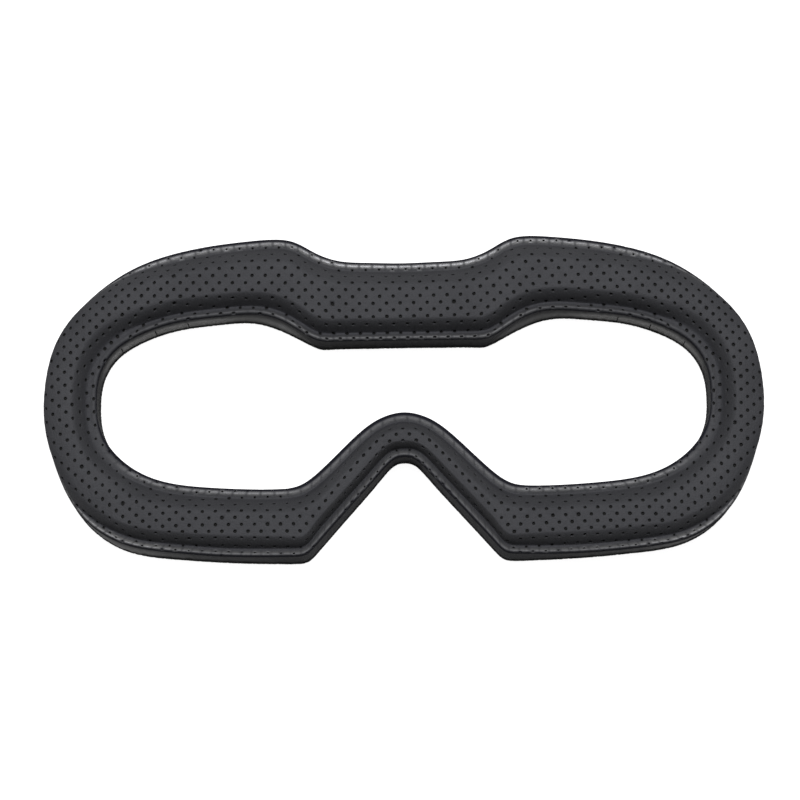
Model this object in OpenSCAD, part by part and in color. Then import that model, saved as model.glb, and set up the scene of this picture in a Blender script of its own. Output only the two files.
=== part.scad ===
// Face pad for FPV goggles: one soft ring that frames both eyes.
// The back plane is z = 0, +Z points at the wearer's face, +Y at the forehead,
// X runs across the face. All sizes are in millimetres.

/* [Overall] */
// Width across the temples
pad_width = 166.8; // [162:0.2:172]
// Height of the side walls, from the back plane up to the rim bead
wall_height = 8.4; // [7.8:0.1:10]
// Height of the padded crown above the grooves beside it
crown_rise = 4.1; // [3.4:0.1:5]

/* [Outline] */
// Height of the brow edge above the centre line, at the middle of the pad
brow_y = 31.8; // [30.8:0.2:32.8]
// How far the brow shoulders stand above the middle of the brow
brow_dip = 6.3; // [5.3:0.1:7.3]
// Depth of the chin edge below the centre line
chin_y = 37.8; // [36.8:0.1:38.8]
// Height of the nose arch above the chin edge
nose_height = 23.4; // [22:0.2:24.8]
// Width of the nose arch between its two bottom corners
nose_width = 46; // [44:0.5:48]

/* [Band widths] */
// Width of the pad at the middle of the brow
brow_band = 18.5; // [17.5:0.1:19.3]
// Width of the pad along the cheeks
cheek_band = 16.2; // [15.4:0.1:17]
// Width of the pad at the temples
temple_band = 12.2; // [11.7:0.1:12.8]
// Width of the pad over the bridge of the nose
nose_band = 10.4; // [10:0.1:11]

/* [Layers] */
// Thickness of the loop fabric on the back
loop_t = 0.7; // [0.5:0.1:1]
// Thickness of each adhesive film
film_t = 0.1; // [0.1:0.05:0.2]
// Thickness of the firm foam next to the backing
firm_t = 2.4; // [1.8:0.1:2.6]
// Thickness of the two side wall strips
wall_t = 0.8; // [0.6:0.1:1]
// How far the side walls sit inside the rim beads
wall_inset = 0.35; // [0.2:0.05:0.5]
// Width of each relief cut in the inner side wall
relief_w = 0.5; // [0.3:0.1:0.8]

/* [Rim beads] */
// Height of the rim beads above the grooves
bead_h = 1; // [0.7:0.1:1.4]
// Width of each rim bead
bead_w = 1.3; // [1.1:0.1:1.6]
// Distance of the groove's bottom from the edge of the pad
groove_d = 2.2; // [2:0.1:2.4]

/* [Hidden] */

// Layer heights, from the back
wall_bottom = loop_t + film_t;
foam_bottom = loop_t + 2 * film_t + firm_t;
cover_edge_t = 0.7;   // cover's depth below the rim, down to the side walls
wall_top = wall_height - cover_edge_t;
foam_inset = wall_inset + wall_t;
overcut = 1;          // how far cutting bodies pass through a face

// ---- Outlines ----

// Edges that the outlines are measured from
half_w = pad_width / 2;
half_nose = nose_width / 2;
top_y = brow_y + brow_dip;
bottom_y = -chin_y;
nose_y = nose_height - chin_y;
shoulder_drop = 6.3;  // from the brow shoulders down to the start of the brow band
eye_top_y = top_y - shoulder_drop - brow_band;
eye_bottom_y = cheek_band - chin_y;
eye_side_x = half_w - temple_band;
bridge_y = nose_y + nose_band;

// [x, y] control points of the +X half of each outline, from the middle of the
// brow round the temple to the middle of the nose arch. The outlines are cubic
// B-splines; equal steps along the two lists stand opposite each other across
// the band.
outer_points = [
    [0, brow_y], [8, brow_y + 0.4], [15.2, brow_y + 0.5], [21.3, brow_y + 3.2],
    [26.1, top_y + 0.5], [35.6, top_y - 0.2], [45.9, top_y - 1.3], [57.3, top_y - 3.8],
    [half_w - 16.8, 30.1], [half_w - 7.6, 22.5], [half_w - 1.5, 13.1], [half_w + 0.3, 1.4],
    [half_w, -8.1], [half_w - 3.9, -20.2], [half_w - 8.9, bottom_y + 9.1],
    [65.2, bottom_y + 2.5], [53, bottom_y + 1.3], [40.3, bottom_y + 0.2],
    [half_nose + 4, bottom_y - 0.1], [half_nose - 0.2, bottom_y - 0.2],
    [half_nose - 2.2, bottom_y + 2],
    [14, nose_y - 13.6], [6.6, nose_y - 5.4], [2.7, nose_y - 0.3], [0, nose_y]];
inner_points = [
    [0, eye_top_y], [8.5, eye_top_y - 0.1], [15.6, eye_top_y], [20.3, eye_top_y - 0.4],
    [26.6, top_y - 20.3], [33.3, top_y - 17.5], [43.2, top_y - 18.6], [52.9, top_y - 19.4],
    [half_w - 22.3, 15.9], [half_w - 15.7, 12.1], [eye_side_x - 0.1, 6], [eye_side_x + 0.2, -0.4],
    [eye_side_x - 0.2, -6.7], [half_w - 16, -12.8], [half_w - 22.1, -17.6],
    [54, eye_bottom_y + 1.5], [44.9, eye_bottom_y + 0.6], [36.1, eye_bottom_y + 0.1],
    [28.5, eye_bottom_y], [half_nose + 0.8, eye_bottom_y + 0.5],
    [18.8, nose_y - 2.4],
    [13, nose_y + 3.5], [8.2, nose_y + 7.9], [4, bridge_y - 0.4], [0, bridge_y + 0.4]];
steps_per_span = 3;

// Adds the -X half, which mirrors the +X half.
function whole(points) =
    concat(points, [for (k = [len(points) - 2 : -1 : 1]) [-points[k][0], points[k][1]]]);
// Point at fraction t of span k of a closed cubic B-spline.
function spline_point(points, k, t) =
    let (count = len(points))
    ((1 - t) ^ 3 * points[(k + count - 1) % count]
        + (3 * t ^ 3 - 6 * t ^ 2 + 4) * points[k]
        + (-3 * t ^ 3 + 3 * t ^ 2 + 3 * t + 1) * points[(k + 1) % count]
        + t ^ 3 * points[(k + 2) % count]) / 6;
function outline(half) =
    let (points = whole(half))
    [for (k = [0 : len(points) - 1]) for (j = [0 : steps_per_span - 1])
        spline_point(points, k, j / steps_per_span)];

// The ring is centred on its own height.
outer_raw = outline(outer_points);
edge_y = [for (point = outer_raw) point[1]];
centre = [0, (max(edge_y) + min(edge_y)) / 2];
outer = [for (point = outer_raw) point - centre];
inner = [for (point = outline(inner_points)) point - centre];

// Width and direction of the band at each station, from outer to inner edge.
stations = len(outer);
band = [for (i = [0 : stations - 1]) norm(inner[i] - outer[i])];
across = [for (i = [0 : stations - 1]) (inner[i] - outer[i]) / band[i]];

function outer_inset(distance) = [for (i = [0 : stations - 1]) outer[i] + across[i] * distance];
function inner_inset(distance) = [for (i = [0 : stations - 1]) inner[i] - across[i] * distance];

// ---- Cross-section at each station ----

function mix(a, b, t) = a + (b - a) * t;
// Smooth step from 0 to 1 over a length that begins at start.
function ease(value, start, length) =
    let (t = max(0, min(1, (value - start) / length))) t * t * (3 - 2 * t);

// 0 along brow, cheeks and nose; 1 at the temples, where the crown rolls
// over the outer edge and takes the place of the outer bead and groove.
roll = [for (point = outer) ease(abs(point[0]), start = half_w - 33, length = 32)];
// 1 where the inner bead broadens round the outer end of each eye opening.
broad = [for (point = inner) ease(abs(point[0]), start = eye_side_x - 14, length = 11)];
// Scale on the inner bead and groove.
stretch = [for (amount = broad) 1 + 0.5 * amount];

// Crown height: a little lower where the band is narrow.
crown = [for (width = band) crown_rise * mix(0.86, 1, ease(width, start = 10, length = 4))];

// Scale on each flank of the crown; narrow bands squeeze both flanks.
flank_w = 3.3;        // full width of one flank
crown_flat = 1.2;     // least width left between the flanks
outer_flank = [for (width = band) min(1, (width - 2 * groove_d - crown_flat) / (2 * flank_w))];
inner_flank = [for (i = [0 : stations - 1]) outer_flank[i] * (1 - 0.35 * broad[i])];

cover_t = 0.8;        // cover thickness at the top of the crown
cover_lip = 0.1;      // inset of the cover's lower edges

// One side of the skin surface, from the edge of the pad up the crown, as
// [distance from the edge, height above the rim]. bead_scale broadens bead and
// groove; rolled turns them into a rolled edge.
function skin_side(rise, flank, bead_scale, rolled) =
    let (groove = groove_d * bead_scale) [
        [0, mix(0, 0.2, rolled)],
        [0.2, mix(0.6 * bead_h, 1.5, rolled)],
        [0.5 * bead_w * bead_scale, mix(bead_h, 2.5, rolled)],
        [bead_w * bead_scale, mix(0.6 * bead_h, 3.2, rolled)],
        [mix(bead_w, groove_d, 0.7) * bead_scale, mix(0.08 * bead_h, 3.5, rolled)],
        [groove + 0.5 * flank, mix(0.15 * rise, 3.7, rolled)],
        [groove + 1.2 * flank, mix(0.6 * rise, 0.95 * rise, rolled)],
        [groove + 2.1 * flank, mix(0.86 * rise, 0.98 * rise, rolled)],
        [groove + flank_w * flank, 0.97 * rise]];
// The same for the underside of the skin, where the foam is bonded to it.
function lining_side(rise, flank, bead_scale, rolled) =
    let (groove = groove_d * bead_scale) [
        [foam_inset, -cover_edge_t],
        [groove, mix(-cover_edge_t, 2.2, rolled)],
        [groove + 1.3 * flank, mix(0.35 * rise, 0.85 * rise, rolled)],
        [groove + 3.2 * flank, 0.93 * rise]];

function reversed(list) = [for (i = [len(list) - 1 : -1 : 0]) list[i]];
// Joins two sides over the crown, as [distance from the outer edge, z].
function arch(i, rise, outer_side, inner_side) =
    let (top = [mix(groove_d, band[i] - groove_d * stretch[i], 0.5), rise],
         far_side = [for (point = reversed(inner_side)) [band[i] - point[0], point[1]]])
    [for (point = concat(outer_side, [top], far_side)) [point[0], wall_height + point[1]]];
function skin(i) =
    arch(i, crown[i],
        skin_side(crown[i], outer_flank[i], 1, roll[i]),
        skin_side(crown[i], inner_flank[i], stretch[i], 0));
function lining(i) =
    let (rise = crown[i] - cover_t)
    arch(i, rise,
        lining_side(rise, outer_flank[i], 1, roll[i]),
        lining_side(rise, inner_flank[i], stretch[i], 0));

// ---- Shared shapes ----

// Closed ring swept through one section per station; each section runs
// from the outer edge over the top to the inner edge and back underneath.
// The foam takes the other diagonal, so that it meets the skin exactly.
module swept_ring(sections, other_diagonal = false) {
    size = len(sections[0]);
    polyhedron(
        points = [for (i = [0 : stations - 1]) for (point = sections[i])
            let (place = outer[i] + across[i] * point[0])
            [place[0], place[1], point[1]]],
        faces = [for (i = [0 : stations - 1]) for (j = [0 : size - 1])
            let (here = i * size,
                 ahead = ((i + 1) % stations) * size,
                 next = (j + 1) % size)
            each other_diagonal
                ? [[here + j, here + next, ahead + next], [here + j, ahead + next, ahead + j]]
                : [[here + j, here + next, ahead + j], [here + next, ahead + next, ahead + j]]]);
}

// Flat ring between two heights and two outlines.
module flat_ring(bottom, top, outside, inside) {
    translate([0, 0, bottom]) difference() {
        linear_extrude(height = top - bottom) polygon(outside);
        translate([0, 0, -overcut])
            linear_extrude(height = top - bottom + 2 * overcut) polygon(inside);
    }
}

// Layer that covers the band, set in equally from both edges.
module layer(bottom, thickness, inset) {
    flat_ring(bottom, bottom + thickness, outer_inset(inset), inner_inset(inset));
}

// ---- Pieces ----

// Perforated leather face, heat-formed with a crown, two grooves and two beads.
module face_cover() {
    color([0.16, 0.16, 0.18])
    swept_ring([for (i = [0 : stations - 1]) concat(
        skin(i),
        [[band[i] - cover_lip, wall_top]],
        reversed(lining(i)),
        [[cover_lip, wall_top]])]);
}

// Soft foam that fills the crown.
module comfort_foam() {
    color([0.30, 0.30, 0.32])
    swept_ring([for (i = [0 : stations - 1]) concat(
        lining(i),
        [[band[i] - foam_inset, foam_bottom], [foam_inset, foam_bottom]])],
        other_diagonal = true);
}

// Firmer foam ring under the soft foam; it keeps the ring flat.
module support_foam() {
    color([0.22, 0.22, 0.24])
    layer(wall_bottom, foam_bottom - film_t - wall_bottom, foam_inset);
}

// Adhesive film between the two foams.
module foam_bond_film() {
    color([0.75, 0.72, 0.60])
    layer(foam_bottom - film_t, film_t, foam_inset);
}

// Adhesive film between the firm foam, the wall edges and the backing.
module backing_bond_film() {
    color([0.75, 0.72, 0.60])
    layer(loop_t, film_t, wall_inset);
}

// Loop fabric over the whole back; it grips hook strips on the goggles.
module loop_backing() {
    color([0.06, 0.06, 0.07])
    layer(0, loop_t, 0);
}

// Plain leather strip round the outside.
module outer_side_wall() {
    color([0.12, 0.12, 0.13])
    flat_ring(wall_bottom, wall_top, outer_inset(wall_inset), outer_inset(foam_inset));
}

// Relief cuts, open at the back edge of the inner wall
relief_x = [for (k = [0 : 2]) 50.5 + 7.8 * k];
relief_l = 6;         // length of each cut across the wall
relief_bridge = 3.2;  // height of wall left uncut above each cut
// Brow side of the +X eye opening, as [x, y].
brow_side = [for (i = [1 : floor(stations / 4)])
    if (inner[i][1] > 0 && inner[i][0] > inner[i - 1][0]) inner[i]];
function eye_brow_y(x) = lookup(x, brow_side);

// Plain leather strip round the eye opening, with relief cuts where it
// bends round the outer upper corner of each eye.
module inner_side_wall() {
    color([0.14, 0.14, 0.15])
    difference() {
        translate([0, 0, wall_bottom])
            linear_extrude(height = wall_top - wall_bottom) polygon(inner_inset(foam_inset));
        translate([0, 0, -overcut])
            linear_extrude(height = wall_top + 2 * overcut) polygon(inner_inset(wall_inset));
        for (side = [-1, 1], x = relief_x)
            translate([side * x, eye_brow_y(x), -overcut])
                rotate([0, 0, side * atan2(eye_brow_y(x + 1) - eye_brow_y(x - 1), 2)])
                    translate([-relief_w / 2, -relief_l / 2, 0])
                        cube([relief_w, relief_l, wall_top - relief_bridge + overcut]);
    }
}

face_cover();
comfort_foam();
support_foam();
outer_side_wall();
inner_side_wall();
foam_bond_film();
backing_bond_film();
loop_backing();
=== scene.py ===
"""Face pad: a closed band of foam round one opening for both eyes.

The pad lies on its loop-fabric back with the leather face up. +X is to the right, +Y to
the brow, -Y to the chin and nose arch, +Z from the back to the crown of the face. Shapes
are in millimetres until they become meshes; textures, lights and camera are in metres.
"""
import math
from collections import namedtuple

import bpy
import numpy as np
from mathutils import Matrix, Vector


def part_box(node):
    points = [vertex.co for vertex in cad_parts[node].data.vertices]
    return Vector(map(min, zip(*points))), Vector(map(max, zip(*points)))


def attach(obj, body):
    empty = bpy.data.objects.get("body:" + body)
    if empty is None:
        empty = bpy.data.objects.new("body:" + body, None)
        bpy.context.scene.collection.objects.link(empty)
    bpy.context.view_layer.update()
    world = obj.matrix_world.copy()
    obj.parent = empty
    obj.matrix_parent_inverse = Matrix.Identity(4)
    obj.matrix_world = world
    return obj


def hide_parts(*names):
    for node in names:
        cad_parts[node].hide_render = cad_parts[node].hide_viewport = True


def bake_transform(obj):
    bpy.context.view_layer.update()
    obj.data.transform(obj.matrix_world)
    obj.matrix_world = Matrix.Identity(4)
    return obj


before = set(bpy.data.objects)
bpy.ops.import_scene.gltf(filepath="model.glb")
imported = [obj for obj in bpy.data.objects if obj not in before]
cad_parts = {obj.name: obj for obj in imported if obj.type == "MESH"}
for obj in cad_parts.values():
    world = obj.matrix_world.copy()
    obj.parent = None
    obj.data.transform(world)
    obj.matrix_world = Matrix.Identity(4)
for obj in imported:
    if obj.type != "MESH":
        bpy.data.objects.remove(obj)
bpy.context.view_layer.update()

MM = 0.001

# --- Layer heights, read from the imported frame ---
face_low, face_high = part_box("face_cover")
WALL_TOP = face_low.z / MM
CROWN = face_high.z / MM
HALF_WIDTH = face_high.x / MM
FIRM_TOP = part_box("comfort_foam")[0].z / MM
WALL_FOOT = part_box("outer_side_wall")[0].z / MM
LOOP_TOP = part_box("loop_backing")[1].z / MM
GROOVE = WALL_TOP + 0.7        # bottom of the grooves between beads and crown
SKIN = 0.42                    # thickness of the face leather

# --- Outlines ---
# Control points (x, y) of closed cubic B-splines: right half, from the middle of the brow
# round the temple to the nose arch. The lists are paired row by row, so equal parameters
# face each other.
OUTER_POINTS = [
    (0, 31.8), (8, 32.2), (15.2, 32.3), (21.3, 35), (26.1, 38.6), (35.6, 37.9), (45.9, 36.8),
    (57.3, 34.3), (66.6, 30.1), (75.8, 22.5), (81.9, 13.1), (83.7, 1.4), (83.4, -8.1),
    (79.5, -20.2), (74.5, -28.7), (65.2, -35.3), (53, -36.5), (40.3, -37.6), (27, -37.9),
    (22.8, -38), (20.8, -35.8), (14, -28), (6.6, -19.8), (2.7, -14.7), (0, -14.4)]
INNER_POINTS = [
    (0, 13.3), (8.5, 13.2), (15.6, 13.3), (20.3, 12.9), (26.6, 17.8), (33.3, 20.6), (43.2, 19.5),
    (52.9, 18.7), (61.1, 15.9), (67.7, 12.1), (71.1, 6), (71.4, -0.4), (71, -6.7),
    (67.4, -12.8), (61.3, -17.6), (54, -20.1), (44.9, -21), (36.1, -21.5), (28.5, -21.6),
    (23.8, -21.1), (18.8, -16.8), (13, -10.9), (8.2, -6.5), (4, -4.4), (0, -3.6)]
# the back edge of the opening turns a sharper corner below the brow
FOOT_POINTS = list(INNER_POINTS)
FOOT_POINTS[2:5] = [(16.6, 13.25), (19.2, 12.9), (22.0, 14.2)]

SPAN_STEPS = 60                # spline samples between two control points
STATIONS = 1680                # cross-sections round the band


def spline_ring(half):
    """Closed B-spline over the right half and its mirror image, clockwise from above."""
    points = np.array(list(half) + [(-x, y) for x, y in reversed(half[1:-1])], float)
    out = []
    for k in range(len(points)):
        a, b = points[k - 1], points[k]
        c, d = points[(k + 1) % len(points)], points[(k + 2) % len(points)]
        for j in range(SPAN_STEPS):
            t = j / SPAN_STEPS
            out.append(((1 - t) ** 3 * a + (3 * t ** 3 - 6 * t ** 2 + 4) * b
                        + (-3 * t ** 3 + 3 * t ** 2 + 3 * t + 1) * c + t ** 3 * d) / 6)
    return np.array(out)


def smooth_ring(values, sigma):
    """Gaussian smoothing of values round the closed ring; sigma in samples."""
    n = len(values)
    gain = np.exp(-2 * (math.pi * np.fft.fftfreq(n) * sigma) ** 2)
    spectrum = np.fft.fft(values.reshape(n, -1), axis=0) * gain[:, None]
    return np.real(np.fft.ifft(spectrum, axis=0)).reshape(values.shape)


def at(ring, fraction):
    """Points of a closed ring at fractions of its samples."""
    n = len(ring)
    x = np.mod(fraction, 1.0) * n
    i = np.floor(x).astype(int)
    f = (x - i)[:, None]
    return ring[i % n] * (1 - f) + ring[(i + 1) % n] * f


def arc_length(ring):
    """Length run at each sample of a closed ring, back to the start."""
    steps = np.linalg.norm(np.diff(np.vstack([ring, ring[:1]]), axis=0), axis=1)
    return np.concatenate([[0], np.cumsum(steps)])


def ease(t):
    t = np.clip(t, 0, 1)
    return t * t * (3 - 2 * t)


def rise(values, start, over):
    """0 up to start, 1 from start + over, eased between."""
    return ease((values - start) / over)


def bell(values, centre, width):
    return np.exp(-((values - centre) / width) ** 2)


outer_ring, inner_ring, foot_ring = map(spline_ring, (OUTER_POINTS, INNER_POINTS, FOOT_POINTS))
middle_y = (outer_ring[:, 1].max() + outer_ring[:, 1].min()) / 2
for outline in (outer_ring, inner_ring, foot_ring):
    outline[:, 1] -= middle_y

# Stations are spaced evenly along the middle of the band.
middle_run = arc_length(0.5 * (outer_ring + inner_ring))
FRACTION = np.interp(np.linspace(0, middle_run[-1], STATIONS, endpoint=False), middle_run,
                     np.linspace(0, 1, len(middle_run)))
OUTER, INNER = at(outer_ring, FRACTION), at(inner_ring, FRACTION)
INNER_FOOT = at(foot_ring, FRACTION)
OUTER_X, OUTER_Y = OUTER.T
INNER_X, INNER_Y = INNER.T
OUTER_SIDE, INNER_SIDE = np.abs(OUTER_X), np.abs(INNER_X)
WIDTH = np.linalg.norm(INNER - OUTER, axis=1)
ACROSS = (INNER - OUTER) / WIDTH[:, None]      # unit step from outer to inner edge


def edge_cosine(ring, step=0.0008):
    """Cosine between the station lines and the normal of an edge."""
    tangent = at(ring, FRACTION + step) - at(ring, FRACTION - step)
    tangent /= np.linalg.norm(tangent, axis=1)[:, None]
    normal = np.column_stack([tangent[:, 1], -tangent[:, 0]])
    return smooth_ring(np.clip(np.abs((normal * ACROSS).sum(1)), 0.55, 1), 6)


def facing_brow(edge, sign):
    """1 where the edge runs along sign * X, and so faces +Y."""
    chord = np.roll(edge, -1, axis=0) - np.roll(edge, 1, axis=0)
    return rise(sign * chord[:, 0] / np.linalg.norm(chord, axis=1), start=0.1, over=0.6)


COS_OUTER, COS_INNER = edge_cosine(outer_ring), edge_cosine(inner_ring)

# --- Fields round the band: 1 in a named region, 0 outside ---
# the outer bead has turned on to the side, later along the chin than along the brow
late = 16.0 * rise(-OUTER_Y, start=2, over=14)
TEMPLE = rise(OUTER_SIDE, start=HALF_WIDTH - 33 + late, over=35.0 - late)
BROW_OUTER, BROW_INNER = facing_brow(OUTER, 1), facing_brow(INNER, -1)
# the inner bead broadens round the outer ends of the opening
BROAD = rise(INNER_SIDE, start=57.0, over=11.0)
NOSE = smooth_ring(rise(-OUTER_SIDE, start=-27.0, over=5.0) * (OUTER_Y < -10), 10)
# upper edge of the opening, over each eye
LID = smooth_ring(rise(INNER_SIDE, start=26, over=8) * (1 - rise(INNER_SIDE, start=64, over=8))
                  * (INNER_Y > 4), 6)
# Along the chin and the nose arch the bead stands back from the side wall, most at the
# lower corners. Columns: x, setback.
SETBACKS = [
    (-74, 0.30), (-66, 0.52), (-59, 0.56), (-52, 0.44), (-45, 0.30), (-38, 0.36), (-31, 0.46),
    (-26, 0.60), (-21, 0.48), (-10, 0.36), (-4, 0.12), (0, 0.0), (4, 0.12), (10, 0.36),
    (21, 0.42), (26, 0.58), (31, 0.28), (38, 0.10), (45, 0.0), (52, 0.02), (59, 0.12), (66, 0.0)]
SETBACK = smooth_ring(np.interp(OUTER_X, *zip(*SETBACKS)) * rise(-OUTER_Y, start=6, over=10)
                      * (1 - BROW_OUTER) * (1 - TEMPLE), 8)


def ripple(seed, wave_numbers):
    """Random sum of sine waves round the band."""
    rng = np.random.default_rng(seed)
    turn = np.arange(STATIONS) / STATIONS * 2 * math.pi
    out = np.zeros(STATIONS)
    for k in wave_numbers:
        out += rng.normal() * np.sin(k * turn + rng.uniform(0, 6.28))
    return out


def slow_noise(waves, size, seed):
    return size * ripple(seed, range(3, waves)) / math.sqrt(waves)


def fine_puckers(seed, wave_numbers):
    out = ripple(seed, wave_numbers)
    return out / np.std(out)


# --- Cross-section of the leather face ---
# Rows run from the crease under the outer bead, over the crown, to the crease under the
# inner bead.
def catmull(points):
    """Smooth curve through points, two samples a span."""
    p = np.array(points, float)
    p = np.vstack([2 * p[0] - p[1], p, 2 * p[-1] - p[-2]])
    out = []
    for i in range(1, len(p) - 2):
        for t in (0, 0.5):
            out.append(0.5 * (
                2 * p[i] + (p[i + 1] - p[i - 1]) * t
                + (2 * p[i - 1] - 5 * p[i] + 4 * p[i + 1] - p[i + 2]) * t * t
                + (3 * p[i] - p[i - 1] - 3 * p[i + 1] + p[i + 2]) * t ** 3))
    out.append(p[-2])
    return np.array(out)


# Bead profiles: (distance from the edge, height above the groove).
# The bead on top ...
BEAD_TOP = catmull([
    (0.42, -0.66), (0.22, -0.58), (0.05, -0.30), (0.0, 0.12), (0.14, 0.52), (0.42, 0.80),
    (0.76, 0.80), (1.08, 0.50), (1.38, 0.20), (1.70, 0.03), (2.02, -0.02)])
# ... the flatter bead along the edges that face the brow side ...
BEAD_SOFT = catmull([
    (0.42, -0.66), (0.22, -0.58), (0.05, -0.34), (0.0, -0.04), (0.14, 0.26), (0.44, 0.50),
    (0.84, 0.66), (1.24, 0.68), (1.60, 0.56), (1.96, 0.45), (2.28, 0.42)])
# ... and for the temples, where bead and groove turn on to the side wall.
BEAD_SIDE = catmull([
    (0.50, -0.66), (0.34, -0.62), (0.20, -0.42), (0.13, -0.12), (0.18, 0.20), (0.30, 0.50),
    (0.36, 0.80), (0.28, 1.12), (0.15, 1.56), (0.10, 1.98), (0.16, 2.40)])
GROOVE_INSET = BEAD_TOP[-1, 0]
FLANK = 2.8                    # width of the slope from groove to crown
FULL_CROWN = 8.2               # crowns narrower than this have shorter slopes
BEAD_ROWS = len(BEAD_TOP)
CROWN_ROWS = 53
ROWS = 2 * BEAD_ROWS + CROWN_ROWS
ROW = np.arange(ROWS)


def flank(t):
    """Rise of the crown from the bottom of a groove (0) to its top (1)."""
    t = np.clip(t, 0, 1)
    return 1 - (1 - t ** 1.25) ** 2.3


def face_grid():
    """Top of the leather face, STATIONS x ROWS points."""
    temple, brow_out, brow_in, broad, nose, cos_out, cos_in, width, setback = (
        field[:, None] for field in (TEMPLE, BROW_OUTER, BROW_INNER, BROAD, NOSE,
                                     COS_OUTER, COS_INNER, WIDTH, SETBACK))
    stretch = 1 + 0.25 * broad                 # of the inner bead
    crown_width = width - GROOVE_INSET / cos_out - GROOVE_INSET * stretch / cos_in
    fullness = np.clip(crown_width * 0.5 * (cos_out + cos_in) / FULL_CROWN, 0.3, 1)
    # narrow crowns stay a little lower
    top = (CROWN - 0.12 - GROOVE) * (0.84 + 0.16 * rise(fullness, start=0.6, over=0.4))

    # beads: distance along the station line from the outer edge, and height
    distance = np.zeros((STATIONS, ROWS))
    height = np.zeros((STATIONS, ROWS))
    outer_bead = BEAD_TOP * (1 - brow_out[:, None]) + BEAD_SOFT * brow_out[:, None]
    inner_bead = BEAD_TOP * (1 - brow_in[:, None]) + BEAD_SOFT * brow_in[:, None]
    distance[:, :BEAD_ROWS] = (outer_bead[:, :, 0] * (1 - temple)
                               + BEAD_SIDE[:, 0] * temple) / cos_out
    height[:, :BEAD_ROWS] = outer_bead[:, :, 1] * (1 - temple) + BEAD_SIDE[:, 1] * temple
    distance[:, -BEAD_ROWS:] = width - stretch * inner_bead[:, ::-1, 0] / cos_in
    height[:, -BEAD_ROWS:] = inner_bead[:, ::-1, 1]
    # round the outer ends of the opening the valley beside the bead is shallower
    height[:, -BEAD_ROWS:-BEAD_ROWS + 10] += 0.50 * broad * ease(np.linspace(1, 0, 10))

    # crown from groove to groove: two soft flanks and a gently domed top
    start_d, start_z = outer_bead[:, -1, :1] / cos_out, outer_bead[:, -1, 1:]
    end_d, end_z = distance[:, [-BEAD_ROWS]], height[:, [-BEAD_ROWS]]
    span = end_d - start_d
    even = np.arange(1, CROWN_ROWS + 1) / (CROWN_ROWS + 1)
    part = even - 0.06 * np.sin(2 * math.pi * even)     # rows crowd towards the grooves
    dome = 0.92 + 0.08 * (1 - (2 * part - 1) ** 2)
    widen_in = 1 + 0.65 * brow_in * (1 - 0.45 * nose) + 0.3 * broad
    widen_out = (1 + 0.65 * brow_out) * (1 - 0.42 * nose)
    fall_in = flank((1 - part) * (span * cos_in) / (FLANK * fullness * widen_in))
    fall_out = flank(part * (span * cos_out) / (FLANK * fullness * widen_out))
    plain_d = start_d + part * span
    plain_z = fall_in * fall_out * dome * top + (1 - fall_out) * start_z + (1 - fall_in) * end_z

    # where the bead is on the side, the crown rolls straight over the edge
    side_d, side_z = BEAD_SIDE[-1]
    rolled_d = (side_d + part ** 1.35 * (end_d * cos_out - side_d)) / cos_out
    roll = np.clip((rolled_d * cos_out - side_d) / 5.6, 0, 1)
    rolled_z = (side_z + ((0.92 + 0.08 * ease(roll)) * top - side_z)
                * (1 - (1 - roll) ** 2.1) ** 0.5)
    fall_in = flank((end_d - rolled_d) * cos_in / (FLANK * (fullness * (1 + 0.3 * broad))))
    rolled_z = rolled_z * fall_in + (1 - fall_in) * end_z
    crown = slice(BEAD_ROWS, ROWS - BEAD_ROWS)
    distance[:, crown] = plain_d * (1 - temple) + rolled_d * temple
    height[:, crown] = plain_z * (1 - temple) + rolled_z * temple
    distance += setback / cos_out * (1 - rise(distance * cos_out, start=2.0, over=4.5))

    # the broad valley is soft: ease its bottom and both shoulders together
    near = np.exp(-((ROW - (ROWS - BEAD_ROWS - 2)) / 11.0) ** 4) * broad
    kernel = bell(np.arange(-12, 13), centre=0, width=4.5)
    kernel /= kernel.sum()
    for values in (distance, height):
        padded = np.pad(values, ((0, 0), (12, 12)), mode="edge")
        soft = sum(weight * padded[:, k:k + ROWS] for k, weight in enumerate(kernel))
        values += near * (soft - values)

    # hand-made unevenness: the crown swells and sinks a little along the band
    height += GROOVE
    swell = slow_noise(waves=26, size=0.045, seed=3)[:, None]
    height += swell * np.clip((height - GROOVE) / top, 0, 1)
    height = np.minimum(height, CROWN)
    plan = OUTER[:, None, :] + ACROSS[:, None, :] * distance[:, :, None]
    # smoothed a little round the band so that station lines don't show
    return smooth_ring(np.concatenate([plan, height[:, :, None]], axis=2), 1.2)


def grid_normals(grid):
    along = np.roll(grid, -1, axis=0) - np.roll(grid, 1, axis=0)
    over = np.empty_like(grid)
    over[:, 1:-1] = grid[:, 2:] - grid[:, :-2]
    over[:, 0] = grid[:, 1] - grid[:, 0]
    over[:, -1] = grid[:, -1] - grid[:, -2]
    normal = np.cross(over, along)
    normal /= np.linalg.norm(normal, axis=2)[:, :, None] + 1e-12
    # pointing up over the crown
    return -normal if normal[:, ROWS // 2, 2].mean() < 0 else normal


GRID = face_grid()
# soft puckers across the beads and in the grooves, where the sheet is drawn down
pucker_rows = sum(bell(ROW, centre, width=4.0)
                  for centre in (BEAD_ROWS - 1, ROWS - BEAD_ROWS, 11, ROWS - 12))
puckers = fine_puckers(7, range(60, 260, 7))
GRID += grid_normals(GRID) * (0.012 * puckers[:, None] * pucker_rows)[:, :, None]
NORMAL = grid_normals(GRID)

# underside of the sheet, tucked up and inwards at both rims
UNDER = GRID - NORMAL * SKIN
tuck_up = np.array([0, 0, 0.3])
tuck_in = np.column_stack([ACROSS, np.zeros(STATIONS)]) * 0.25
UNDER[:, 0] = GRID[:, 0] + tuck_up + tuck_in
UNDER[:, -1] = GRID[:, -1] + tuck_up - tuck_in


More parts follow.
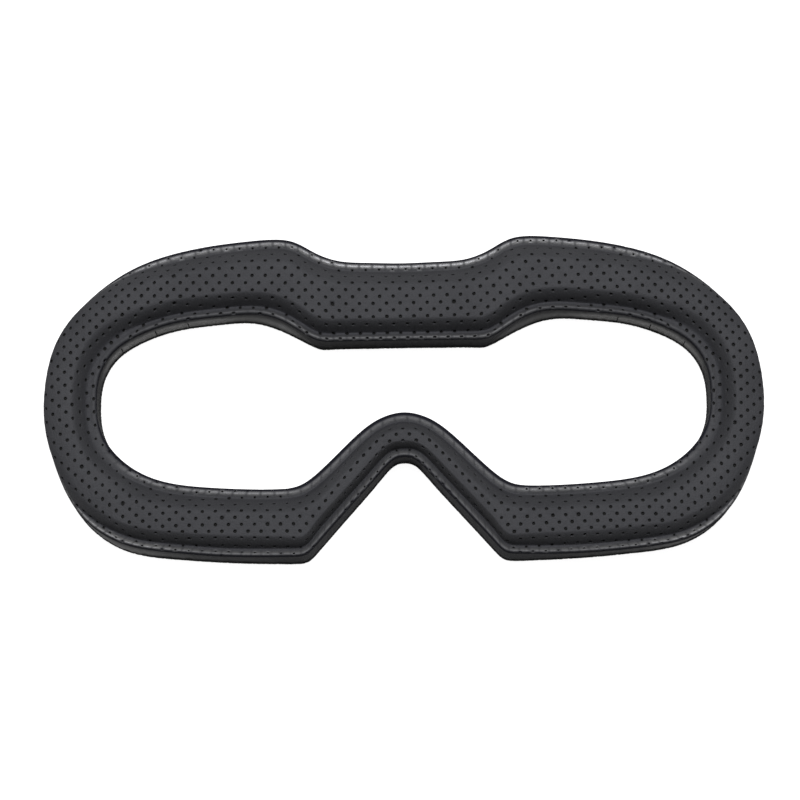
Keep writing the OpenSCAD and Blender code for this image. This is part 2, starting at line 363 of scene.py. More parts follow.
# --- Materials ---
class Material:
    """A Principled material with short ways to add and link nodes."""

    def __init__(self, name):
        self.data = bpy.data.materials.new(name)
        self.data.use_nodes = True
        self.tree = self.data.node_tree
        self.tree.nodes.clear()
        self.output = self.node("OutputMaterial")
        self.shader = self.node("BsdfPrincipled")
        self.position = self.node("TexCoord").outputs["Object"]
        self.feed(self.output.inputs["Surface"], self.shader.outputs["BSDF"])

    def feed(self, socket, value):
        """Link an output to a socket, or set the socket to a plain value."""
        if isinstance(value, bpy.types.NodeSocket):
            self.tree.links.new(value, socket)
        else:
            socket.default_value = value

    def node(self, kind, **settings):
        """New node; capitalised settings are its inputs, the others its properties."""
        node = self.tree.nodes.new("ShaderNode" + kind)
        for key, value in settings.items():
            if key[0].isupper():
                self.feed(node.inputs[key], value)
            else:
                setattr(node, key, value)
        return node

    def texture(self, kind, output, **settings):
        return self.node("Tex" + kind, Vector=self.position, **settings).outputs[output]

    def noise(self, **settings):
        return self.texture("Noise", "Fac", **settings)

    def voronoi(self, **settings):
        return self.texture("Voronoi", "Distance", Randomness=1.0, **settings)

    def attribute(self, name):
        return self.node("Attribute", attribute_name=name).outputs["Fac"]

    def math(self, operation, first, second, clamp=False):
        node = self.node("Math", operation=operation, use_clamp=clamp)
        self.feed(node.inputs[0], first)
        self.feed(node.inputs[1], second)
        return node.outputs[0]

    def times(self, first, second, clamp=False):
        return self.math("MULTIPLY", first, second, clamp)

    def total(self, first, *others):
        for other in others:
            first = self.math("ADD", first, other)
        return first

    def ramp(self, factor, low, high):
        """Colour ramp between two (position, colour) stops."""
        node = self.node("ValToRGB", Fac=factor)
        for element, (place, colour) in zip(node.color_ramp.elements, (low, high)):
            element.position, element.color = place, colour
        return node.outputs["Color"]

    def mix(self, share, first, second, blend="MIX"):
        node = self.node("Mix", data_type="RGBA", blend_type=blend)
        for index, value in ((0, share), (6, first), (7, second)):
            self.feed(node.inputs[index], value)
        return node.outputs[2]

    def bump(self, height, **settings):
        return self.node("Bump", Height=height, **settings).outputs["Normal"]

    def surface(self, values):
        for name, value in values.items():
            self.feed(self.shader.inputs[name], value)


def grey(value, tint=(1, 1, 1)):
    return (value * tint[0], value * tint[1], value * tint[2], 1)


def leather(name, base, rough, grain, highlight_paint, specular, sheen):
    """Embossed polyurethane. Three mesh attributes: one paints a highlight along the bead crests,
    one paints shade into grooves and creases, one makes patches glossier with a painted pale
    reflection.
    """
    mat = Material(name)
    # pebble grain: small cells with soft valleys
    cells = mat.voronoi(feature="SMOOTH_F1", Scale=2600.0, Smoothness=0.6)
    valleys = mat.voronoi(feature="DISTANCE_TO_EDGE", Scale=1500.0)
    mottle = mat.noise(Scale=900.0, Detail=6.0, Roughness=0.62)
    clouds = mat.noise(Scale=95.0, Detail=4.0, Roughness=0.55)
    grit = mat.noise(Scale=5200.0, Detail=3.0, Roughness=0.6)
    # weights of the layers of relief
    relief = mat.total(mat.times(cells, -0.55),
                       mat.times(mat.times(valleys, 3.0, clamp=True), 0.5),
                       mat.times(mottle, 0.5), mat.times(grit, 0.25))
    waves = mat.bump(clouds, Strength=0.35, Distance=0.0006)
    normal = mat.bump(relief, Strength=grain, Distance=0.00010, Normal=waves)

    # colour: cloudy dye, darker pits, a painted highlight on the bead crests, painted shade in
    # grooves and creases, a painted pale reflection on glossy patches
    dye = mat.ramp(clouds, low=(0.30, grey(base * 0.90, (0.98, 0.99, 1.10))),
                   high=(0.72, grey(base * 1.17, (0.99, 1.0, 1.10))))
    pits = mat.ramp(cells, low=(0.15, grey(1.0)), high=(0.75, grey(0.78)))
    colour = mat.mix(0.7, dye, pits, blend="MULTIPLY")
    rim, groove = mat.attribute("rim"), mat.attribute("groove")
    # painted highlight: the bead crests are mixed towards a pale grey
    painted_highlight = mat.times(rim, mat.total(mat.times(mottle, highlight_paint), 0.5 * highlight_paint), clamp=True)
    colour = mat.mix(painted_highlight, colour, grey(0.20, (1.0, 0.995, 0.985)))
    # painted shade: grooves and creases are mixed towards a dark bluish grey
    colour = mat.mix(mat.times(groove, 0.40, clamp=True), colour,
                     grey(base * 0.27, (0.86, 0.88, 1.40)))
    # painted pale reflection on the glossy patches, which below are also smoother and reflect
    # more
    glossy_painted_sheen = mat.times(mat.attribute("gloss_and_painted_sheen"), mat.total(mat.times(clouds, 1.4), 0.2), clamp=True)
    colour = mat.mix(glossy_painted_sheen, colour, grey(0.33, (1.0, 0.99, 0.97)))

    # bead crests and glossy patches are smoother and reflect more; where the painted shade is
    # deepest, reflection is almost cut off as well
    roughness = mat.total(mat.times(mottle, 0.16), rough - 0.08)
    roughness = mat.math("SUBTRACT", roughness, mat.times(glossy_painted_sheen, 0.26))
    roughness = mat.math("SUBTRACT", roughness, mat.times(rim, 0.24))
    reflect = mat.total(mat.times(rim, 0.35), specular)
    reflect = mat.total(reflect, mat.times(glossy_painted_sheen, 0.85))
    deep = mat.times(mat.math("SUBTRACT", groove, 0.9), 0.8, clamp=True)
    reflect = mat.times(reflect, mat.math("SUBTRACT", 1.0, mat.times(deep, 0.9)))
    mat.surface({"Normal": normal, "Base Color": colour, "Roughness": roughness,
                 "Specular IOR Level": reflect, "Specular Tint": (0.92, 0.93, 1.0, 1),
                 "Sheen Weight": sheen, "Sheen Roughness": 0.5})
    return mat.data


def foam(name, base, cell, strength):
    """Open foam: coarse and fine cells, dark in their middles."""
    mat = Material(name)
    coarse = mat.voronoi(feature="F1", Scale=cell)
    fine = mat.voronoi(feature="F1", Scale=cell * 2.7)
    clouds = mat.noise(Scale=160.0, Detail=5.0, Roughness=0.6)
    relief = mat.total(coarse, mat.times(fine, 0.5))
    colour = mat.ramp(coarse, low=(0.0, grey(base * 0.35)), high=(0.55, grey(base * 1.15)))
    cloudy = mat.ramp(clouds, low=(0.3, grey(base * 0.7)), high=(0.7, grey(base * 1.2)))
    mat.surface({"Normal": mat.bump(relief, Strength=strength, Distance=0.0003),
                 "Base Color": mat.mix(0.35, colour, cloudy),
                 "Roughness": 0.95, "Specular IOR Level": 0.15})
    return mat.data


def pile(name, base):
    """Knitted loops: wavy ribs both ways under a fuzzy noise."""
    mat = Material(name)
    ribs_x = mat.texture("Wave", "Fac", Scale=330.0, Distortion=7.0, Detail=3.0,
                         bands_direction="X")
    ribs_y = mat.texture("Wave", "Fac", Scale=280.0, Distortion=8.0, Detail=3.0,
                         bands_direction="Y")
    fuzz = mat.noise(Scale=2400.0, Detail=8.0, Roughness=0.7)
    clouds = mat.noise(Scale=120.0, Detail=4.0, Roughness=0.6)
    relief = mat.total(mat.times(mat.total(ribs_x, ribs_y), 0.5), mat.times(fuzz, 1.4))
    colour = mat.ramp(fuzz, low=(0.32, grey(base * 0.5)), high=(0.70, grey(base * 1.9)))
    cloudy = mat.ramp(clouds, low=(0.3, grey(base * 0.7)), high=(0.7, grey(base * 1.4)))
    mat.surface({"Normal": mat.bump(relief, Strength=0.9, Distance=0.00025),
                 "Base Color": mat.mix(0.3, colour, cloudy),
                 "Roughness": 0.9, "Specular IOR Level": 0.2,
                 "Sheen Weight": 0.35, "Sheen Roughness": 0.6})
    return mat.data


def film(name, base):
    mat = Material(name)
    clouds = mat.noise(Scale=400.0, Detail=4.0, Roughness=0.6)
    colour = mat.ramp(clouds, low=(0.3, grey(base * 0.7, (1, 0.95, 0.85))),
                      high=(0.7, grey(base * 1.2, (1, 0.97, 0.9))))
    mat.surface({"Base Color": colour, "Roughness": 0.45,
                 "Normal": mat.bump(clouds, Strength=0.3, Distance=0.0001)})
    return mat.data


# for each leather, the setting after grain is the strength of the painted highlight on the bead
# crests
FACE_LEATHER = leather("perforated_leather", base=0.030, rough=0.70, grain=0.50, highlight_paint=0.55,
                       specular=0.35, sheen=0.04)
# both wall leathers are darker than the face leather as painted shade, the inner one inside the
# opening darkest
SHADE_DARKENED_WALL_LEATHER = leather("plain_leather", base=0.024, rough=0.56, grain=0.40, highlight_paint=0.05,
                       specular=0.24, sheen=0.0)
SHADE_DARKENED_LINING_LEATHER = leather("plain_leather_lining", base=0.012, rough=0.52, grain=0.30, highlight_paint=0.05,
                         specular=0.18, sheen=0.0)
SOFT_FOAM = foam("soft_foam", base=0.012, cell=2200.0, strength=0.8)
FIRM_FOAM = foam("firm_foam", base=0.035, cell=3200.0, strength=0.5)
LOOP_FABRIC = pile("loop_fabric", base=0.010)
ADHESIVE = film("adhesive_film", base=0.05)


# --- Mesh helpers ---
def make_object(name, verts, faces, material, attributes):
    """Smooth-shaded object from points in mm and quads; unused points are left out."""
    faces = np.array(faces)
    used = np.zeros(len(verts), bool)
    used[faces.reshape(-1)] = True
    index = np.cumsum(used) - 1
    mesh = bpy.data.meshes.new(name)
    mesh.from_pydata((verts[used] * MM).tolist(), [], index[faces].tolist())
    mesh.validate(clean_customdata=False)
    for key, values in attributes.items():
        layer = mesh.attributes.new(key, "FLOAT", "POINT")
        layer.data.foreach_set("value", np.asarray(values[used], np.float32))
    mesh.polygons.foreach_set("use_smooth", [True] * len(mesh.polygons))
    mesh.materials.append(material)
    mesh.update()
    ob = bpy.data.objects.new(name, mesh)
    bpy.context.scene.collection.objects.link(ob)
    return ob


def thick_ring(name, top, bottom, material, missing=None, attributes=None):
    """Closed sheet between two grids of points; missing marks cells left out."""
    n, m, _ = top.shape
    under = n * m
    if missing is None:
        missing = np.zeros((n, m - 1), bool)
    faces = []
    for i in range(n):
        i2 = (i + 1) % n
        for j in range(m - 1):
            if missing[i, j]:
                continue
            a, b, c, d = i * m + j, i * m + j + 1, i2 * m + j + 1, i2 * m + j
            faces.append((a, b, c, d))
            faces.append((a + under, d + under, c + under, b + under))
            if j == 0 or missing[i, j - 1]:
                faces.append((a, d, d + under, a + under))
            if j == m - 2 or missing[i, j + 1]:
                faces.append((b, b + under, c + under, c))
            if missing[i - 1, j]:
                faces.append((a, a + under, b + under, b))
            if missing[i2, j]:
                faces.append((d, c, c + under, d + under))
    verts = np.concatenate([top.reshape(-1, 3), bottom.reshape(-1, 3)])
    doubled = {key: np.tile(values.reshape(-1), 2) for key, values in (attributes or {}).items()}
    return make_object(name, verts, faces, material, doubled)


# --- Perforated leather face ---
# The holes are a staggered lattice, drawn a little this way and that as by the stretching
# of the sheet: polynomials in the lattice coordinates a (to the right) and b (to the brow).
# Columns: power of a, power of b, coefficient for x, coefficient for y.
LATTICE_TERMS = [
    (0, 0, 1.02, 22.84), (0, 1, 0.48, -34.25), (0, 2, -0.21, 12.40), (0, 3, -0.43, -1.51),
    (0, 4, 0.45, -5.56), (0, 5, -0.12, 1.88),
    (1, 0, 78.67, 0.77), (1, 1, 0.58, -0.73), (1, 2, -0.50, 0.59), (1, 3, -2.26, 0.49),
    (1, 4, 0.89, -0.27),
    (2, 0, -0.78, 3.19), (2, 1, -0.15, 5.22), (2, 2, 1.03, -12.14), (2, 3, -0.47, 5.10),
    (3, 0, -4.66, -0.09), (3, 1, -1.13, 0.86), (3, 2, 1.55, -0.72),
    (4, 0, 0.10, -1.46), (4, 1, -0.15, -1.50), (5, 0, 2.25, -0.21)]
HOLE_RADIUS = 0.385
HOLE_CLEAR = 0.51              # half width of the patch of sheet rebuilt round a hole
MAX_SHIFT = 0.18               # furthest a hole is moved from its nearest grid point
BIN = 2.0                      # bin size for finding the nearest grid point

STEP = np.linalg.norm(np.roll(GRID, -1, axis=0) - GRID, axis=2)
# distance over the sheet from the first row
GIRTH = np.concatenate([np.zeros((STATIONS, 1)), np.cumsum(
    np.linalg.norm(np.diff(GRID, axis=1), axis=2), axis=1)], axis=1)

# A hole at a grid point (station, row), its patch of cells, its shift from the point,
# the station step, the angle between the grid lines, and how far it is open.
Hole = namedtuple("Hole", "station row reach row_low row_high shift step cosine sine opening")


def lattice():
    out = []
    for r in range(-9, 44):
        for k in range(-30, 31):
            a, b = (k + 0.5 * (r % 2)) / 25, r / 20
            if abs(a) <= 1.18:
                out.append((sum(cx * a ** i * b ** j for i, j, cx, _ in LATTICE_TERMS),
                            sum(cy * a ** i * b ** j for i, j, _, cy in LATTICE_TERMS)))
    return out


def unit(vector):
    return vector / np.linalg.norm(vector)


def place_holes():
    """Holes that fit on the sheet, and the grid cells their patches take up."""
    flat = GRID[:, :, :2].reshape(-1, 2)
    bins = {}
    for station in range(STATIONS):
        for row in range(7, ROWS - 8):
            n = station * ROWS + row
            x, y = flat[n]
            bins.setdefault((int(x // BIN), int(y // BIN)), []).append(n)
    taken = np.zeros((STATIONS, ROWS - 1), bool)
    holes = []
    for x, y in lattice():
        bin_x, bin_y = int(x // BIN), int(y // BIN)
        near = [n for a in (-1, 0, 1) for b in (-1, 0, 1)
                for n in bins.get((bin_x + a, bin_y + b), ())]
        if not near:
            continue
        gaps = np.hypot(flat[near, 0] - x, flat[near, 1] - y)
        closest = int(gaps.argmin())
        if gaps[closest] > 0.42:
            continue
        i, j = divmod(near[closest], ROWS)

        # shift of the hole from the grid point, in sheet coordinates
        along = unit(GRID[(i + 1) % STATIONS, j] - GRID[i - 1, j])
        over = unit(GRID[i, j + 1] - GRID[i, j - 1])
        axes = np.array([along[:2], over[:2]]).T
        if abs(np.linalg.det(axes)) < 0.25:
            shift = np.zeros(2)
        else:
            shift = np.linalg.solve(axes, np.array([x - GRID[i, j, 0], y - GRID[i, j, 1]]))
        shift = np.clip(shift, -MAX_SHIFT, MAX_SHIFT)
        cosine = float(along @ over)
        sine = max(0.75, math.sqrt(1 - cosine * cosine))

        # patch of cells round the hole
        clear = HOLE_CLEAR / sine
        step = float(STEP[i, j])
        reach = min(max(int(math.ceil((clear + abs(shift[0])) / step)), 1), 5)
        low = high = j
        while low > 1 and GIRTH[i, j] + shift[1] - GIRTH[i, low] < clear:
            low -= 1
        while high < ROWS - 2 and GIRTH[i, high] - GIRTH[i, j] - shift[1] < clear:
            high += 1
        if low < 5 or high > ROWS - 6:
            continue

        # where a bead is drawn tight its perforations close up
        tight = 0.0
        if j < BEAD_ROWS:
            tight = max(float(BROW_OUTER[i]), 0.75 * (1 - float(TEMPLE[i])))
        elif j >= ROWS - BEAD_ROWS:
            tight = float(BROW_INNER[i])
            if tight * NOSE[i] > 0.25:
                continue
        patch = np.ix_([(i + a) % STATIONS for a in range(-reach, reach)], range(low, high))
        if taken[patch].any():
            continue
        taken[patch] = True
        holes.append(Hole(i, j, reach, low, high, shift, step, cosine, sine, 1 - 0.42 * tight))
    return holes, taken


def patch_border(hole):
    """(station, row) of the grid points round a patch; stations may run past the ends."""
    first, last = hole.station - hole.reach, hole.station + hole.reach
    low, high = hole.row_low, hole.row_high
    return ([(a, low) for a in range(first, last)] + [(last, b) for b in range(low, high)]
            + [(a, high) for a in range(last, first, -1)]
            + [(first, b) for b in range(high, low, -1)])


def sample(grid, station, girth):
    """Point of a grid at a fractional station and a distance over the sheet."""
    whole = int(math.floor(station))
    f = station - whole
    out = np.zeros(3)
    for k, weight in ((whole, 1 - f), (whole + 1, f)):
        k %= STATIONS
        run = GIRTH[k]
        j = max(0, min(ROWS - 2, int(np.searchsorted(run, girth) - 1)))
        g = (girth - run[j]) / (run[j + 1] - run[j])
        out += weight * (grid[k, j] * (1 - g) + grid[k, j + 1] * g)
    return out


def dashes(ring, pitch, phase):
    """Strength of evenly spaced dashes along an edge; the pitch is fitted to its length."""
    run = arc_length(ring)
    turns = round(run[-1] / pitch)
    beat = np.abs(np.sin(math.pi * (run[:-1] / run[-1] * turns + phase)))
    return beat


def face_masks():
    """Attributes on the grid: a painted highlight along the bead crests and painted shade in the
    grooves and creases.
    """
    # past the dip of the brow, and round the lower corners
    wide = smooth_ring(rise(OUTER_SIDE, start=18, over=8) * (OUTER_Y > 5), 8)
    heel = smooth_ring(rise(OUTER_SIDE, start=50, over=10) * rise(-OUTER_Y, start=12, over=10), 8)
    brow = BROW_OUTER * rise(OUTER_Y, start=5, over=10)
    off_brow = 1 - BROW_OUTER
    # the line of painted highlight on each bead, in rows from the edge of the sheet
    line_out = 11.2 + ((2.3 + 1.0 * wide) * BROW_OUTER + 1.3 * off_brow * (1 - TEMPLE))[:, None]
    line_in = 11.2 + ((2.3 + 1.6 * NOSE) * BROW_INNER)[:, None]
    rows_in = ROWS - 1 - ROW
    rim = np.clip(bell(ROW, line_out, width=2.2 + 0.9 * off_brow[:, None])
                  + bell(rows_in, line_in, width=2.2), 0, 1)
    # painted shade in the creases beside the beads
    groove = (bell(ROW, BEAD_ROWS - 1, width=3.0)
              + bell(ROW, ROWS - BEAD_ROWS - 3.0 * BROW_INNER[:, None],
                     width=(3.0 + 2.5 * BROAD + 2.5 * NOSE)[:, None]))

    # strength of the painted highlight and the painted shade in each region
    outer, inner = slice(0, ROWS // 2), slice(ROWS // 2, ROWS)
    rim[:, outer] *= ((0.55 + 0.2 * BROW_OUTER + 0.76 * brow * (1 - 0.45 * wide) + 0.6 * heel)
                      * (1 - 0.45 * TEMPLE) * (1 - 0.3 * NOSE))[:, None]
    rim[:, inner] *= ((0.50 + 0.30 * BROW_INNER) * (1 - 0.9 * BROAD)
                      * (1 - 0.6 * LID) * (1 - 0.25 * NOSE))[:, None]
    groove[:, outer] *= ((1 - TEMPLE) * off_brow * (1 - 0.3 * NOSE))[:, None]
    groove[:, inner] *= ((1 - 0.75 * BROW_INNER * (1 - NOSE)) * (1 - 0.35 * BROAD))[:, None]
    # the beads are nipped between the perforations, so the painted highlight is broken into short
    # dashes, closer together along the chin
    beat_out = np.where(OUTER_Y < 0, dashes(OUTER, pitch=2.33, phase=0.4),
                        dashes(OUTER, pitch=3.08, phase=0.26))
    beat_in = dashes(INNER, pitch=3.08, phase=0.26)
    for half, beat in ((outer, beat_out), (inner, beat_in)):
        rim[:, half] *= (0.25 + 0.75 * ease(beat / 0.55))[:, None]
    # painted shade on the outward side of each bead, down to the crease
    low = ease((line_out - 1.6 - ROW) / 2.2) + ease((line_in - 1.6 - rows_in) / 2.2)
    return {"rim": rim, "groove": np.clip(groove + 2.2 * low, 0, 2.3)}


def perforated_face():
    holes, taken = place_holes()
    under = STATIONS * ROWS
    faces = []
    for i in range(STATIONS):
        i2 = (i + 1) % STATIONS
        start, start2 = i * ROWS, i2 * ROWS
        for j in range(ROWS - 1):
            if taken[i, j]:
                continue
            a, b, c, d = start + j, start + j + 1, start2 + j + 1, start2 + j
            faces.append((a, b, c, d))
            faces.append((a + under, d + under, c + under, b + under))
        # close the two rims
        end, end2 = start + ROWS - 1, start2 + ROWS - 1
        faces.append((start, start2, start2 + under, start + under))
        faces.append((end, end + under, end2 + under, end2))

    # each hole is a funnel of rings from its patch border down to the underside
    points = []
    masks = face_masks()
    values = {key: [mask.reshape(-1)] * 2 for key, mask in masks.items()}
    rng = np.random.default_rng(11)
    for hole in holes:
        i, j = hole.station, hole.row
        border = patch_border(hole)
        n = len(border)
        angles = []
        for a, b in border:
            run = GIRTH[a % STATIONS]
            x = (a - i) * hole.step - hole.shift[0]
            y = run[b] - run[j] - hole.shift[1]
            angles.append(math.atan2(y * hole.sine, x + y * hole.cosine))
        radius = HOLE_RADIUS * hole.opening * (1 + 0.05 * rng.normal())
        # columns: surface, radius, depth below it
        rings = [(GRID, min(0.48, radius + 0.09), 0.0), (GRID, radius + 0.04, 0.02),
                 (GRID, radius, 0.075), (GRID, radius - 0.01, 0.20), (UNDER, radius - 0.01, 0.0)]
        chain = [[(a % STATIONS) * ROWS + b for a, b in border]]
        for surface, ring_radius, depth in rings:
            first = 2 * under + len(points)
            for angle in angles:
                up = ring_radius * math.sin(angle) / hole.sine
                right = hole.shift[0] + ring_radius * math.cos(angle) - up * hole.cosine
                point = sample(surface, i + right / hole.step, GIRTH[i, j] + hole.shift[1] + up)
                points.append(point - NORMAL[i, j] * depth)
            chain.append(list(range(first, first + n)))
        for upper, lower in zip(chain, chain[1:]):
            for k in range(n):
                k2 = (k + 1) % n
                faces.append((upper[k2], upper[k], lower[k], lower[k2]))
        for k in range(n):
            k2 = (k + 1) % n
            faces.append((chain[0][k] + under, chain[0][k2] + under, chain[-1][k2], chain[-1][k]))
        # the upper three rings take the mask of the sheet, the lower two none
        for key, mask in masks.items():
            values[key].append(np.repeat([mask[i, j], 0], [3 * n, 2 * n]))
    verts = np.concatenate([GRID.reshape(-1, 3), UNDER.reshape(-1, 3), np.array(points)])
    return make_object("face_skin", verts, faces, FACE_LEATHER,
                       {key: np.concatenate(parts) for key, parts in values.items()})


skin = perforated_face()
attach(skin, "face")
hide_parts("face_cover")


# --- Soft foam under the skin ---
def soft_core():
    """Foam at every second station and row, set in from the edges at wall height."""
    inset = 1.15
    top = UNDER[::2, 6:ROWS - 6:2].copy()
    top[:, :, 2] -= 0.03
    top[:, 0, :2] = OUTER[::2] + ACROSS[::2] * (inset / COS_OUTER[::2, None])
    top[:, -1, :2] = INNER[::2] - ACROSS[::2] * (inset / COS_INNER[::2, None])
    top[:, [0, -1], 2] = WALL_TOP - 0.02
    bottom = top.copy()
    bottom[:, :, 2] = FIRM_TOP
    return thick_ring("soft_foam_core", top, bottom, SOFT_FOAM)


soft_foam = soft_core()
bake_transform(soft_foam)
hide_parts("comfort_foam")

# --- Side walls: leather strips, slightly bellied, with fine upright puckers ---
WALL_Z = np.linspace(WALL_FOOT + 0.01, WALL_TOP - 0.05, 15)
WALL_SET = 0.35                # of the strip from the edge, before the belly
WALL_THICK = 0.78


def wall_grid(edge, foot, cosine, sign, seed, belly, waves, lean):
    """Face and back of a strip; sign is 1 where ACROSS points into the band."""
    puckers = fine_puckers(seed, waves)
    drift = slow_noise(waves=30, size=0.05, seed=seed + 1)
    face = np.zeros((STATIONS, len(WALL_Z), 3))
    back = np.zeros_like(face)
    up = (WALL_Z - WALL_Z[0]) / (WALL_Z[-1] - WALL_Z[0])
    for j, (z, t) in enumerate(zip(WALL_Z, up)):
        depth = WALL_SET - belly * math.sin(math.pi * t) ** 0.8 - 0.10 * (1 - t) ** 3
        depth = depth + (0.035 * puckers + drift) * math.sin(math.pi * min(1, 0.15 + t * 0.85))
        # drawn in at the top, to the bead it is sewn under
        pull = lean * float(rise(t, start=0.35, over=0.65))
        depth = np.maximum(depth, 0.03) + pull
        here = edge + (foot - edge) * float(1 - rise(t, start=0.15, over=0.75))
        face[:, j, :2] = here + sign * ACROSS * (depth / cosine)[:, None]
        back[:, j, :2] = here + sign * ACROSS * ((WALL_SET + WALL_THICK + pull) / cosine)[:, None]
        face[:, j, 2] = back[:, j, 2] = z
    return face, back


def add_wall(name, replaced, grids, material, groove, gloss_and_painted_sheen, missing=None):
    wall = thick_ring(name, *grids, material, missing,
                      {"rim": np.zeros_like(groove), "groove": groove, "gloss_and_painted_sheen": gloss_and_painted_sheen})
    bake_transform(wall)
    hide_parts(replaced)


def outer_wall():
    grids = wall_grid(OUTER, OUTER, COS_OUTER, sign=1, seed=31, belly=0.12,
                      waves=range(70, 240, 9), lean=0.9 * SETBACK)
    # painted shade under the bead and where the strip tucks under the backing
    under_bead = 2.1 - 1.9 * np.minimum(SETBACK, 0.5)
    at_foot = 1.7 * (1 - 0.6 * rise(OUTER_X, start=40, over=20))
    groove = (bell(WALL_Z, WALL_Z[-1], width=0.8) * under_bead[:, None]
              + at_foot[:, None] * bell(WALL_Z, WALL_Z[0], width=1.5))
    # painted highlight, on a glossier finish, where the strip turns the lower corners, less on
    # the right
    gloss_and_painted_sheen = ((0.12 * rise(OUTER_SIDE, start=28, over=12)
              + 0.42 * rise(OUTER_SIDE, start=44, over=22))
             * rise(-OUTER_Y, start=2, over=22) * np.where(OUTER_X < 0, 1.0, 0.8))
    gloss_and_painted_sheen = smooth_ring(gloss_and_painted_sheen, 10)[:, None] * bell(WALL_Z, centre=4.4, width=2.0)
    add_wall("side_wall_outer", "outer_side_wall", grids, SHADE_DARKENED_WALL_LEATHER, groove, gloss_and_painted_sheen)


def inner_wall():
    grids = wall_grid(INNER, INNER_FOOT, COS_INNER, sign=-1, seed=47, belly=0.10,
                      waves=range(80, 260, 7), lean=0.0)
    # relief cuts: gaps where the strip bends round the outer upper corners of the opening
    cuts = np.zeros((STATIONS, len(WALL_Z) - 1), bool)
    for side in (-1, 1):
        for cut_x in (50.5, 58.3, 66.1):
            upper = np.flatnonzero((INNER_Y > 0) & (INNER_X * side > 0))
            cuts[upper[np.argmin(np.abs(INNER_SIDE[upper] - cut_x))], :9] = True
    # stretched smooth and glossier round those corners, with a painted pale reflection, less on
    # the right
    gloss_and_painted_sheen = ((0.6 * rise(INNER_SIDE, start=23, over=7)
              + 1.2 * rise(INNER_SIDE, start=38, over=10))
             * rise(INNER_Y, start=4, over=12) * np.where(INNER_X < 0, 1.0, 0.8))
    gloss_and_painted_sheen = (smooth_ring(gloss_and_painted_sheen, 8)[:, None]
             * bell(WALL_Z, centre=3.4, width=np.where(WALL_Z > 3.4, 1.9, 2.2)))
    # painted shade under the bead, and at the ends of the opening where the strip lies in its own
    # shade
    shade = rise(INNER_SIDE, start=60, over=6) * (1 - rise(INNER_Y, start=4, over=8))
    groove = (2.3 * bell(WALL_Z, WALL_Z[-1], width=1.0)
              + 0.8 * smooth_ring(shade, 8)[:, None])
    add_wall("side_wall_inner", "inner_side_wall", grids, SHADE_DARKENED_LINING_LEATHER, groove, gloss_and_painted_sheen, cuts)


outer_wall()
inner_wall()


# --- Loop fabric on the back ---
def backing():
    part = np.linspace(0, 1, 44)
    plan = OUTER[:, None] * (1 - part[:, None]) + INNER_FOOT[:, None] * part[:, None]
    x, y = plan[:, :, 0], plan[:, :, 1]
    rng = np.random.default_rng(5)
    # rows of knitted loops, pitched 1.15 by 0.95 and swaying along Y
    sway = 1.2 * np.sin(y * 2 * math.pi / 2.9)
    loops = 0.5 + 0.5 * np.sin(x * 2 * math.pi / 1.15 + sway) * np.sin(y * 2 * math.pi / 0.95)
    loops = 0.16 * (1 - loops) + 0.03 * rng.random(loops.shape)
    # both edges are rounded over and frayed
    edge = np.minimum(part, 1 - part) * WIDTH[:, None]
    drop = (1 - np.clip(edge / 0.35, 0, 1)) ** 2
    top_z = LOOP_TOP - 0.12 * drop - 0.005
    bottom_z = np.maximum(0.0, loops) + 0.16 * drop
    fray = np.abs(0.03 * rng.normal(size=(STATIONS, 2)))
    plan[:, 0] += ACROSS * fray[:, [0]]
    plan[:, -1] -= ACROSS * fray[:, [1]]
    top, bottom = (np.concatenate([plan, z[:, :, None]], axis=2) for z in (top_z, bottom_z))
    return thick_ring("loop_fabric_back", top, bottom, LOOP_FABRIC)


loop_back = backing()
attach(loop_back, "base")
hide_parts("loop_backing")

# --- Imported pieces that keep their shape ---
for piece, material in (("support_foam", FIRM_FOAM), ("foam_bond_film", ADHESIVE),
                        ("backing_bond_film", ADHESIVE)):
    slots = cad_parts[piece].data.materials
    slots.clear()
    slots.append(material)

# --- Floor, light, camera (metres) ---
scene = bpy.context.scene


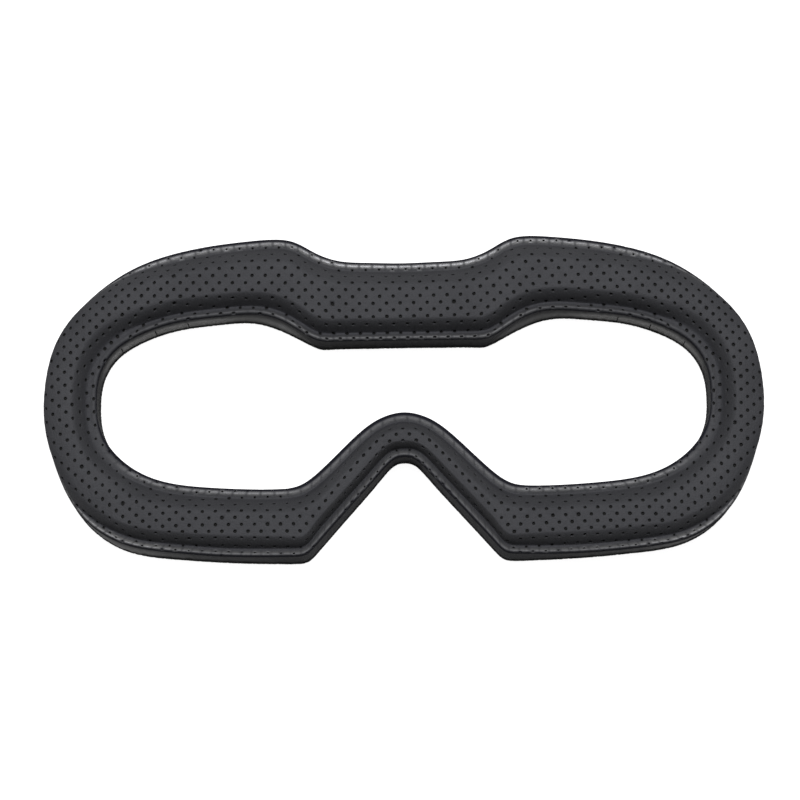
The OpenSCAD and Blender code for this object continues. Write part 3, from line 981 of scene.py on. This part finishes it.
def floor_paper():
    """White paper. To the camera it also glows like a light table, so that it stays white
    and keeps only a faint contact shadow."""
    mat = Material("floor_paper")
    colour = mat.ramp(mat.noise(Scale=600.0, Detail=3.0), low=(0.3, grey(0.44)),
                      high=(0.7, grey(0.46)))
    mat.surface({"Base Color": colour, "Roughness": 0.9, "Specular IOR Level": 0.1})
    paper = mat.shader.outputs["BSDF"]
    glow = mat.node("Emission", Strength=0.90)
    both = mat.node("AddShader")
    pick = mat.node("MixShader")
    path = mat.node("LightPath")
    for socket, value in ((both.inputs[0], glow.outputs[0]), (both.inputs[1], paper),
                          (pick.inputs[0], path.outputs["Is Camera Ray"]),
                          (pick.inputs[1], paper), (pick.inputs[2], both.outputs[0]),
                          (mat.output.inputs["Surface"], pick.outputs[0])):
        mat.feed(socket, value)
    return mat.data


def add_floor(size, z):
    material = floor_paper()
    mesh = bpy.data.meshes.new("floor")
    s = size / 2
    mesh.from_pydata([(-s, -s, z), (s, -s, z), (s, s, z), (-s, s, z)], [], [(0, 1, 2, 3)])
    mesh.materials.append(material)
    ob = bpy.data.objects.new("floor", mesh)
    scene.collection.objects.link(ob)
    return ob


def area_light(name, location, size_x, size_y, power):
    """Rectangular light aimed at the origin."""
    light = bpy.data.lights.new(name, "AREA")
    light.shape = "RECTANGLE"
    light.size, light.size_y = size_x, size_y
    light.energy = power
    ob = bpy.data.objects.new(name, light)
    ob.location = location
    aim = Vector((0, 0, 0)) - Vector(location)
    ob.rotation_euler = aim.to_track_quat("-Z", "Y").to_euler()
    scene.collection.objects.link(ob)


def add_camera(target, distance, tilt, roll, view_width):
    """Camera tilted from straight above towards the chin side."""
    data = bpy.data.cameras.new("camera")
    data.sensor_width = 36.0
    data.lens = 36.0 * distance / view_width
    ob = bpy.data.objects.new("camera", data)
    away = Vector((0, -math.sin(tilt), math.cos(tilt)))
    ob.location = Vector(target) + away * distance
    turn = away.to_track_quat("Z", "Y").to_matrix()
    ob.rotation_euler = (turn @ Matrix.Rotation(roll, 3, "Z")).to_euler()
    scene.collection.objects.link(ob)
    scene.camera = ob


add_floor(size=6.0, z=-0.00005)

world = bpy.data.worlds.new("studio")
scene.world = world
world.use_nodes = True
background = world.node_tree.nodes["Background"]
background.inputs["Color"].default_value = (1, 1, 1, 1)
background.inputs["Strength"].default_value = 0.155

area_light("key_softbox", location=(0.0, 0.38, 1.08), size_x=0.8, size_y=0.35, power=13)
area_light("top_fill", location=(0.0, 0.0, 1.5), size_x=0.7, size_y=0.5, power=4)

scene.view_settings.view_transform = "Standard"
scene.view_settings.look = "None"
scene.view_settings.exposure = 0.0

add_camera(target=(-0.00088, -0.00057, 0.006), distance=0.550, tilt=math.radians(12.0),
           roll=math.radians(-0.84), view_width=0.18664)
